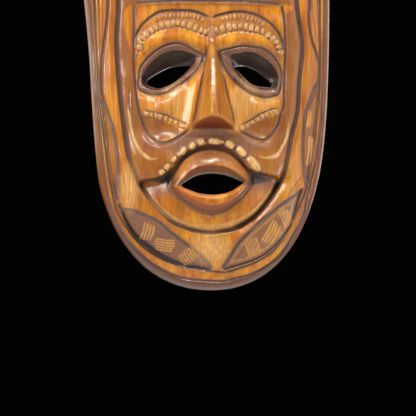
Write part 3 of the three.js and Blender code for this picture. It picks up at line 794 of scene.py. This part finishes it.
def fitted_grid(outline, middle_h, cells, stretch=1.9):
    """A grid rounded to a disc and stretched to an outline, so that its outer rows follow the edge."""
    a, b = np.meshgrid(np.linspace(-1, 1, cells[0] + 1), np.linspace(-1, 1, cells[1] + 1))
    u, v = a * np.sqrt(1 - b * b / 2), b * np.sqrt(1 - a * a / 2)
    reach = np.hypot(u, v)
    angle = np.arctan2(v * stretch, u)
    edge_angle = np.arctan2(outline[:, 1] - middle_h, outline[:, 0])
    edge_radius = np.hypot(outline[:, 1] - middle_h, outline[:, 0])
    order = np.argsort(edge_angle)
    radius = np.interp(angle, edge_angle[order], edge_radius[order], period=2 * math.pi)
    return reach * radius * np.cos(angle), middle_h + reach * radius * np.sin(angle)


def border(rows, columns):
    """Indices round the edge of a grid, counter-clockwise seen from the front."""
    index = np.arange(rows * columns).reshape(rows, columns)
    return np.concatenate([index[0, :-1], index[:-1, -1], index[-1, :0:-1], index[:0:-1, 0]])


def new_object(name, vertices, faces):
    mesh = bpy.data.meshes.new(name)
    mesh.from_pydata(vertices.tolist(), [], faces)
    mesh.validate()
    made = bpy.data.objects.new(name, mesh)
    bpy.context.scene.collection.objects.link(made)
    return made


def slab(name, x, h, depth, back_depths):
    """A closed solid: the grid is its front, then rings go round its side to a flat back."""
    rows, columns = x.shape
    edge = border(rows, columns)
    points = [place(x, h, depth).reshape(-1, 3)]
    for back in back_depths:
        points.append(place(x.ravel()[edge], h.ravel()[edge], np.full(edge.size, float(back))))
    index = np.arange(rows * columns).reshape(rows, columns)
    quads = np.stack([index[:-1, :-1], index[:-1, 1:], index[1:, 1:], index[1:, :-1]], -1).reshape(-1, 4)
    faces = quads.tolist()
    upper = edge
    for ring in range(len(back_depths)):
        lower = rows * columns + ring * edge.size + np.arange(edge.size)
        side = np.stack([upper, lower, np.roll(lower, -1), np.roll(upper, -1)], -1)
        faces += side.tolist()
        upper = lower
    faces.append(upper[::-1].tolist())
    return new_object(name, np.vstack(points), faces)


def prism(name, points, from_depth, to_depth, curved=True):
    """A straight cutter through the wood, from one depth to another."""
    line = spline(points, closed=True, step=0.8)[:-1] if curved else np.array(points, float)
    if np.sum(line[:, 0] * np.roll(line[:, 1], -1) - np.roll(line[:, 0], -1) * line[:, 1]) < 0:
        line = line[::-1]
    count = len(line)
    points = np.vstack([place(line[:, 0], line[:, 1], np.full(count, d)) for d in (to_depth, from_depth)])
    around = np.arange(count)
    faces = [around.tolist(), (around[::-1] + count).tolist()]
    faces += np.stack([around, around + count, np.roll(around, -1) + count, np.roll(around, -1)], -1).tolist()
    return new_object(name, points, faces)


def subtract(target, cutter):
    modifier = target.modifiers.new("cut", "BOOLEAN")
    modifier.operation = "DIFFERENCE"
    modifier.solver = "MANIFOLD"
    modifier.object = cutter
    bpy.context.view_layer.update()
    evaluated = target.evaluated_get(bpy.context.evaluated_depsgraph_get())
    result = bpy.data.meshes.new_from_object(evaluated)
    target.modifiers.clear()
    old = target.data
    target.data = result
    bpy.data.meshes.remove(old)
    bpy.data.objects.remove(cutter)


def mask_carving():
    x, h = fitted_grid(OUTLINE, MIDDLE_H, FRONT_CELLS)
    front = carve(x.ravel(), h.ravel())
    wood = slab("mask_carving", x, h, front.depth().reshape(x.shape), WALL_RINGS)
    subtract(wood, hollow_cutter())
    for name, hole in (("eye_left", EYE_HOLE[-1]), ("eye_right", EYE_HOLE[1]), ("mouth", MOUTH_HOLE)):
        subtract(wood, prism(name, hole, -OVERCUT, CLEAR_OF_NOSE))
    subtract(wood, hanger_seat())
    finish_wood(wood)
    return wood


def hollow_cutter():
    """The hollow for the wearer's face, with the marks of the gouge that cut it."""
    x, h = fitted_grid(HOLLOW, 0.5 * (HOLLOW_RIM + HOLLOW_TOP), HOLLOW_CELLS)
    flat = Carving(x.ravel(), h.ravel())
    plain = flat.base.copy()
    shape_face(flat)
    shape_sockets(flat)
    inset, _, _ = follow(x.ravel(), h.ravel(), HOLLOW[::3])
    across = np.abs(np.sin(0.36 * x + 1.5 * np.sin(0.05 * h)))
    along = np.abs(np.sin(0.11 * h + 0.7 * np.sin(0.2 * x)))
    gouge = 0.9 * across * along
    nose = 16 * hill(x.ravel(), h.ravel(), 0, 146, 17, 40)
    floor = np.minimum(plain - WALL + nose, flat.base - THIN_WALL)
    soft = 6.0
    slope = (inset - 0.5) * HOLLOW_SLOPE
    blend = np.clip(0.5 + 0.5 * (floor - slope) / soft, 0, 1)
    depth = floor * (1 - blend) + slope * blend - soft * blend * (1 - blend)
    depth = np.maximum(depth + gouge.ravel() * smooth(inset / 6), -0.5)
    return slab("hollow", x, h, depth.reshape(x.shape), (-OVERCUT,))


def hanger_seat():
    """The flat seat sunk in the back for the strap hanger."""
    seat_depth = -strap_low.y / MM + 0.3
    bottom = (strap_low.z - CHIN_Z) / MM - 6
    top = -CHIN_Z / MM + 8
    half, corner = 14.0, 3.0
    turns = np.linspace(0, math.pi / 2, 6)
    arc = [(half - corner + corner * math.cos(a), corner * math.sin(a)) for a in turns]
    ring = [(x, top - corner + y) for x, y in arc] + [(-x, top - corner + y) for x, y in arc[::-1]]
    ring += [(-x, bottom + corner - y) for x, y in arc] + [(x, bottom + corner - y) for x, y in arc[::-1]]
    return prism("seat", ring, -OVERCUT, seat_depth, curved=False)


def finish_wood(wood):
    """Tones at every vertex, with painted shade on the cut walls of the openings, the raw wood's material on
    the back, and smooth shading.
    """
    mesh = wood.data
    co = np.zeros(len(mesh.vertices) * 3, np.float32)
    mesh.vertices.foreach_get("co", co)
    co = co.reshape(-1, 3).astype(float)
    x, h, depth = co[:, 0] / MM, (co[:, 2] - CHIN_Z) / MM, -co[:, 1] / MM
    c = carve(x, h)
    below = c.depth() - depth
    # Painted shade: the cut walls below the carved front are painted dark and lose their pale.
    inner = smooth((below - 0.8) / 2.0) * smooth((c.inset - 1) / 2)
    c.paint("dark", ALL, inner)
    c.clear("pale", ALL, inner)
    outer = smooth((below - 0.5) / 2.0) * smooth((1.5 - c.inset) / 1.0)
    c.paint("brown", ALL, outer)
    for tone, amount in c.tones.items():
        attribute = mesh.attributes.new(tone, "FLOAT", "POINT")
        attribute.data.foreach_set("value", np.clip(amount, 0, 1).astype(np.float32))
    normals = np.zeros(len(mesh.polygons) * 3, np.float32)
    mesh.polygons.foreach_get("normal", normals)
    mesh.materials.clear()
    mesh.materials.append(varnished_wood())
    mesh.materials.append(raw_wood())
    faces_back = normals.reshape(-1, 3)[:, 1] > 0.3
    mesh.polygons.foreach_set("material_index", faces_back.astype(np.int32))
    mesh.shade_smooth()
    mesh.set_sharp_from_angle(angle=math.radians(SHARP_DEGREES))
    mesh.update()


# ---------------------------------------------------------------- materials


def linear(colour):
    """An sRGB colour of 0 to 255 as linear light, with alpha."""
    parts = [v / 255 for v in colour]
    return tuple(v / 12.92 if v <= 0.04045 else ((v + 0.055) / 1.055) ** 2.4 for v in parts) + (1.0,)


class Shader:
    """Short calls for building one material's nodes."""

    def __init__(self, name):
        self.material = bpy.data.materials.new(name)
        self.material.use_nodes = True
        self.tree = self.material.node_tree
        self.tree.nodes.clear()
        self.surface = self.tree.nodes.new("ShaderNodeBsdfPrincipled")
        output = self.tree.nodes.new("ShaderNodeOutputMaterial")
        self.tree.links.new(self.surface.outputs[0], output.inputs[0])

    def put(self, socket, value):
        if isinstance(value, bpy.types.NodeSocket):
            self.tree.links.new(value, socket)
        else:
            socket.default_value = value

    def node(self, kind, inputs, output=0, **settings):
        made = self.tree.nodes.new(kind)
        for key, value in settings.items():
            setattr(made, key, value)
        for key, value in inputs.items():
            self.put(made.inputs[key], value)
        return made.outputs[output]

    def math(self, operation, a, b=0.0):
        return self.node("ShaderNodeMath", {0: a, 1: b}, operation=operation)

    def mix(self, share, a, b, blend_type="MIX"):
        inputs = {"Factor": share, 6: a, 7: b}
        return self.node("ShaderNodeMix", inputs, 2, data_type="RGBA", blend_type=blend_type)

    def noise(self, scale, stretch=(1, 1, 1), detail=3.0, roughness=0.5, distortion=0.0):
        """Noise of so many cells to the metre, stretched along an axis by a small number there."""
        place_on = self.node("ShaderNodeTexCoord", {}, 3)
        moved = self.node("ShaderNodeMapping", {"Vector": place_on, "Scale": stretch})
        inputs = {"Vector": moved, "Scale": scale, "Detail": detail, "Roughness": roughness,
                  "Distortion": distortion}
        return self.node("ShaderNodeTexNoise", inputs)

    def remap(self, value, low, high, to_low=0.0, to_high=1.0):
        return self.node("ShaderNodeMapRange", {0: value, 1: low, 2: high, 3: to_low, 4: to_high})

    def bump(self, height, distance, strength=1.0, normal=None):
        inputs = {"Height": height, "Distance": distance, "Strength": strength}
        if normal is not None:
            inputs["Normal"] = normal
        return self.node("ShaderNodeBump", inputs)

    def set(self, **inputs):
        for key, value in inputs.items():
            self.put(self.surface.inputs[key.replace("_", " ")], value)


def varnished_wood():
    """Amber wood with the carving's tones laid over it, painted shade, sheen and highlights among them, under
    a clear coat that is not quite flat.
    """
    s = Shader("varnished_wood")
    fine = s.noise(760, (1, 1, 0.045), detail=4, roughness=0.62)
    streak = s.noise(170, (1, 1, 0.08), detail=3, distortion=0.6)
    cloud = s.noise(30, (1, 1, 0.45), detail=2)
    mottle = s.noise(75, (1, 1, 0.35), detail=4, roughness=0.6)
    amber = s.mix(s.remap(streak, 0.36, 0.66), linear((198, 110, 8)), linear((238, 160, 18)))
    colour = s.mix(s.remap(cloud, 0.38, 0.66, 0, 0.6), amber, linear((170, 88, 16)))
    colour = s.mix(s.remap(mottle, 0.52, 0.72, 0, 0.55), colour, linear((140, 70, 22)))
    for tone, shade in TONES.items():
        amount = s.node("ShaderNodeAttribute", {}, 2, attribute_name=tone)
        tone_share = s.math("MULTIPLY", amount, s.remap(fine, 0.25, 0.6, 0.8, 1.0))
        if tone == "brown":
            tone_share = s.math("MULTIPLY", tone_share, s.remap(mottle, 0.3, 0.62, 1.0, 0.72))
        layer = s.mix(s.remap(streak, 0.35, 0.65, 0, 0.5), linear(shade), linear([v * 0.72 for v in shade]))
        colour = s.mix(tone_share, colour, layer)
    grain = s.remap(fine, 0.3, 0.7, 0.62, 1.16)
    colour = s.mix(1.0, colour, grain, blend_type="MULTIPLY")
    normal = s.bump(streak, 0.0005, 0.4, s.bump(fine, 0.0003, 0.7))
    film = s.bump(mottle, 0.0008, 0.4, s.bump(fine, 0.00018, 0.7))
    s.set(Base_Color=colour, Roughness=s.remap(streak, 0.3, 0.7, 0.36, 0.52), IOR=1.5, Normal=normal)
    s.set(Coat_Weight=0.62, Coat_Roughness=0.11, Coat_IOR=1.5, Coat_Normal=film)
    s.surface.inputs["Specular IOR Level"].default_value = 0.25
    return s.material


def raw_wood():
    """The bare wood of the back."""
    s = Shader("raw_wood")
    fine = s.noise(700, (1, 1, 0.06), detail=4, roughness=0.6)
    streak = s.noise(110, (1, 1, 0.1), detail=3, distortion=0.8)
    colour = s.mix(s.remap(streak, 0.35, 0.68), linear((172, 118, 72)), linear((208, 158, 106)))
    colour = s.mix(s.remap(s.noise(22), 0.45, 0.7, 0, 0.5), colour, linear((128, 82, 52)))
    colour = s.mix(1.0, colour, s.remap(fine, 0.3, 0.7, 0.7, 1.08), blend_type="MULTIPLY")
    normal = s.bump(fine, 0.0003, 0.7)
    s.set(Base_Color=colour, Roughness=s.remap(streak, 0.3, 0.7, 0.6, 0.8), Normal=normal)
    return s.material


def metal(name, colour, tarnish, roughness):
    """Plated steel with spots of tarnish."""
    s = Shader(name)
    spots = s.noise(900, detail=4)
    wipe = s.noise(260, (1, 1, 0.2), detail=3)
    base = s.mix(s.remap(spots, 0.45, 0.72), linear(colour), linear(tarnish))
    s.set(Base_Color=base, Metallic=1.0, Roughness=s.remap(wipe, 0.3, 0.7, roughness, roughness + 0.2))
    s.set(Normal=s.bump(spots, 0.00006, 0.5))
    return s.material


# ---------------------------------------------------------------- the pieces


def dress_hanger():
    plated = metal("plated_steel", (196, 176, 120), (120, 96, 60), 0.24)
    steel = metal("screw_steel", (176, 176, 172), (96, 88, 80), 0.3)
    for name in ("hanger_strap", "hanger_ring", "hanger_screw_upper", "hanger_screw_lower"):
        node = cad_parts[name]
        node.data.materials.clear()
        node.data.materials.append(steel if "screw" in name else plated)


# ---------------------------------------------------------------- camera, floor and light


def camera():
    """The view of the photograph: nearly square on, a little from the left and from below."""
    azimuth, elevation = math.radians(-4), math.radians(-3)
    distance, width_seen = 2.0, 0.312
    data = bpy.data.cameras.new("camera")
    data.sensor_width = 36
    data.lens = data.sensor_width * distance / width_seen
    seen = bpy.data.objects.new("camera", data)
    bpy.context.scene.collection.objects.link(seen)
    target = Vector((-0.6 * MM, -12 * MM, CHIN_Z + 61.5 * MM))
    back = Vector((math.sin(azimuth) * math.cos(elevation), -math.cos(azimuth) * math.cos(elevation),
                   math.sin(elevation)))
    seen.location = target + distance * back
    seen.rotation_euler = (-back).to_track_quat("-Z", "Y").to_euler()
    bpy.context.scene.camera = seen


def softbox(name, place_at, width, height, power, colour=(1, 1, 1)):
    """A soft light aimed at the middle of the mask."""
    data = bpy.data.lights.new(name, "AREA")
    data.shape = "RECTANGLE"
    data.size, data.size_y = width, height
    data.energy = power
    data.color = colour
    lamp = bpy.data.objects.new(name, data)
    bpy.context.scene.collection.objects.link(lamp)
    aim = Vector((0, -0.03, CHIN_Z + 0.15))
    lamp.location = place_at
    lamp.rotation_euler = (aim - Vector(place_at)).to_track_quat("-Z", "Y").to_euler()
    lamp.visible_camera = False
    return lamp


def studio():
    """A key light from the left and softer ones round it, on a black ground like the photograph's."""
    scene = bpy.context.scene
    scene.view_settings.view_transform = "Standard"
    world = bpy.data.worlds.new("studio")
    world.use_nodes = True
    world.node_tree.nodes["Background"].inputs[0].default_value = (0.0008, 0.0008, 0.0008, 1)
    scene.world = world
    softbox("key_left", (-1.75, -0.85, 0.35), 0.5, 0.9, 26, (0.98, 0.99, 1.0))
    softbox("upper_left", (-1.2, -0.9, 1.3), 1.4, 1.2, 6)
    softbox("upper_right", (1.2, -0.9, 1.3), 1.4, 1.2, 11)
    softbox("front_top", (0.1, -1.15, 1.5), 0.45, 0.35, 19)
    softbox("right_soft", (1.7, -0.8, 0.0), 1.2, 1.4, 9.5)
    softbox("low_right", (1.5, -0.35, -0.9), 0.8, 0.6, 10)
    softbox("front_soft", (0.1, -2.3, 0.5), 1.6, 1.2, 3.5)
    softbox("front_left", (-0.86, -1.4, 1.0), 0.5, 0.45, 15)
    softbox("back_left", (-1.15, 1.5, 0.6), 1.8, 1.6, 9)
    softbox("back_right", (0.9, 1.7, 0.4), 1.8, 1.6, 11)
    wash = softbox("floor_wash", (0, 0.5, -0.6), 7.0, 7.0, 36)
    wash.rotation_euler = (0, 0, 0)  # straight down, on the floor only


def lay_floor():
    """A plain pale floor, well below the mask as it hangs."""
    half, drop = 6.0, -1.1
    corners = half * np.array([(-1, -1, 0), (1, -1, 0), (1, 1, 0), (-1, 1, 0)]) + (0, 0, drop)
    floor = new_object("floor", corners, [(0, 1, 2, 3)])
    s = Shader("floor")
    pale = s.mix(s.remap(s.noise(3), 0.4, 0.6, 0, 1), (0.7, 0.69, 0.67, 1), (0.74, 0.73, 0.71, 1))
    s.set(Base_Color=pale, Roughness=0.8)
    floor.data.materials.append(s.material)


camera()
studio()
lay_floor()
carving = mask_carving()
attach(carving, "mask")
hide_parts("mask_body")
dress_hanger()
